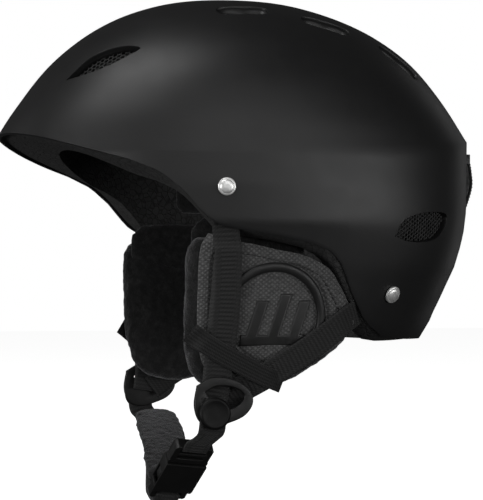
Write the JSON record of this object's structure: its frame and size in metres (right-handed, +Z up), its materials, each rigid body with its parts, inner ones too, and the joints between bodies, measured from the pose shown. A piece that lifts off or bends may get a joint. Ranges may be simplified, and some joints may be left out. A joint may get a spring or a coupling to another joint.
{
  "type": "snow sports helmet",
  "caption": "Snow helmet with a matt black vented shell, padded ear covers, webbing chin sling, side-release buckle and a rear goggle-strap retainer.",
  "frame": {"origin": "middle of the head opening, level with the shell rim above the ears", "axes": "+Z up through the crown, -Y to the front, +X to the wearer's left"},
  "size_m": [0.211, 0.2891, 0.2949],
  "materials": {
    "black_shell": "satin",
    "foam": "fine bead texture",
    "mesh": "matt",
    "fleece": "short pile",
    "woven": "plain weave",
    "elastic": "ribbed",
    "webbing": "ladder weave",
    "nickel": "polished",
    "soft_rubber": "matt",
    "plastic": "satin"
  },
  "bodies": {
    "helmet": {"brow_pad": "fleece", "cradle_anchor_left": "plastic", "cradle_anchor_right": "plastic", "crown_pad": "fleece", "divider_button_left": "plastic", "divider_button_right": "plastic", "foam_liner": "foam", "front_grille_left": "mesh", "front_grille_right": "mesh", "front_rivet_left": "nickel", "front_rivet_right": "nickel", "front_strap_left": "webbing", "front_strap_right": "webbing", "helmet_shell": "black_shell", "nape_pad": "fleece", "rear_grille_left": "mesh", "rear_grille_right": "mesh", "rear_rivet_left": "nickel", "rear_rivet_right": "nickel", "rear_strap_left": "webbing", "rear_strap_right": "webbing", "retainer_clip": "plastic", "retainer_stud": "nickel", "side_pad_left": "fleece", "side_pad_right": "fleece", "strap_divider_left": "plastic", "strap_divider_right": "plastic", "strap_keeper_left": "elastic", "strap_keeper_right": "elastic"},
    "ear_pad_left": {"ear_cushion_left": "fleece", "ear_cover_left": "woven", "ear_ring_left": "soft_rubber", "ear_mark_left": "soft_rubber"},
    "ear_pad_right": {"ear_cushion_right": "fleece", "ear_cover_right": "woven", "ear_ring_right": "soft_rubber", "ear_mark_right": "soft_rubber"},
    "chin_sling": {"chin_strap_left": "webbing", "chin_strap_right": "webbing", "buckle_male": "plastic", "buckle_female": "plastic", "chin_pad": "fleece"},
    "prong_front": {"buckle_prong_front": "plastic"},
    "prong_rear": {"buckle_prong_rear": "plastic"},
    "goggle_retainer": {"goggle_retainer": "soft_rubber"},
    "nape_cradle": {"nape_cradle": "plastic", "dial_hub": "plastic"},
    "fit_dial": {"fit_dial": "soft_rubber"}
  },
  "joints": [
    {"name": "ear_pad_left_flex", "type": "hinge", "parent": "helmet", "child": "ear_pad_left", "pos_m": [0.085, -0.008, 0.003], "axis": [0, 1, 0], "range_deg": [0, 6], "stiffness_Nm_per_rad": 0.6},
    {"name": "ear_pad_right_flex", "type": "hinge", "parent": "helmet", "child": "ear_pad_right", "pos_m": [-0.085, -0.008, 0.003], "axis": [0, -1, 0], "range_deg": [0, 6], "stiffness_Nm_per_rad": 0.6},
    {"name": "chin_sling_swing", "type": "hinge", "parent": "helmet", "child": "chin_sling", "pos_m": [0, -0.04, -0.094], "axis": [1, 0, 0], "range_deg": [-25, 20]},
    {"name": "prong_front_press", "type": "hinge", "parent": "chin_sling", "child": "prong_front", "pos_m": [0.05194, -0.05355, -0.12217], "axis": [0.6738, 0, -0.739], "range_deg": [0, 7], "stiffness_Nm_per_rad": 0.08},
    {"name": "prong_rear_press", "type": "hinge", "parent": "chin_sling", "child": "prong_rear", "pos_m": [0.04982, -0.03801, -0.1241], "axis": [-0.6738, 0, 0.739], "range_deg": [0, 7], "stiffness_Nm_per_rad": 0.08},
    {"name": "goggle_retainer_lift", "type": "hinge", "parent": "helmet", "child": "goggle_retainer", "pos_m": [0, 0.14108, 0.052], "axis": [1, 0, 0], "range_deg": [0, 60]},
    {"name": "nape_cradle_tilt", "type": "hinge", "parent": "helmet", "child": "nape_cradle", "pos_m": [0, 0.036, 0.006], "axis": [1, 0, 0], "range_deg": [-10, 2]},
    {"name": "fit_dial_turn", "type": "hinge", "parent": "nape_cradle", "child": "fit_dial", "pos_m": [0, 0.08, -0.029], "axis": [0, 1, 0], "range_deg": [0, 270]}
  ]
}
